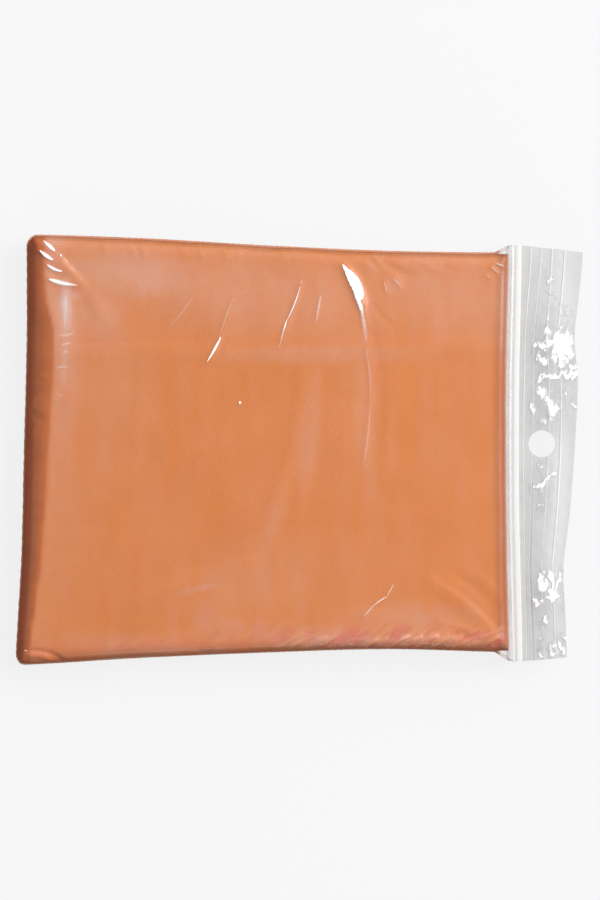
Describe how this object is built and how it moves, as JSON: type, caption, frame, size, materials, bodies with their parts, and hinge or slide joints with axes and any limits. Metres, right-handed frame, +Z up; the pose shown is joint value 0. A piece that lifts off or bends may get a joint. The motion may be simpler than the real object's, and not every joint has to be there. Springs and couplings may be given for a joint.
{
  "type": "rain poncho folded in its zip pouch",
  "caption": "Orange film rain poncho folded into a flat packet inside its clear press-to-close pouch, with a ribbed lip and a hang hole",
  "frame": {"origin": "on the surface that the packet lies on, under the middle of the whole", "axes": "+X from the pouch's folded bottom end to its lip, +Y across the pouch, +Z up out of its front"},
  "size_m": [0.1286, 0.0974, 0.013],
  "materials": {
    "poncho_film": "satin",
    "clear_film": "gloss",
    "milky_zip": "satin"
  },
  "bodies": {
    "root": {"outer_turn": "poncho_film", "inner_layers": "poncho_film", "pouch_front_film": "clear_film", "pouch_back_film": "clear_film", "bottom_fold": "clear_film", "side_weld_upper": "clear_film", "side_weld_lower": "clear_film", "lip_front_film": "clear_film", "lip_back_film": "clear_film", "zip_groove": "milky_zip", "zip_tongue": "milky_zip"}
  },
  "joints": []
}
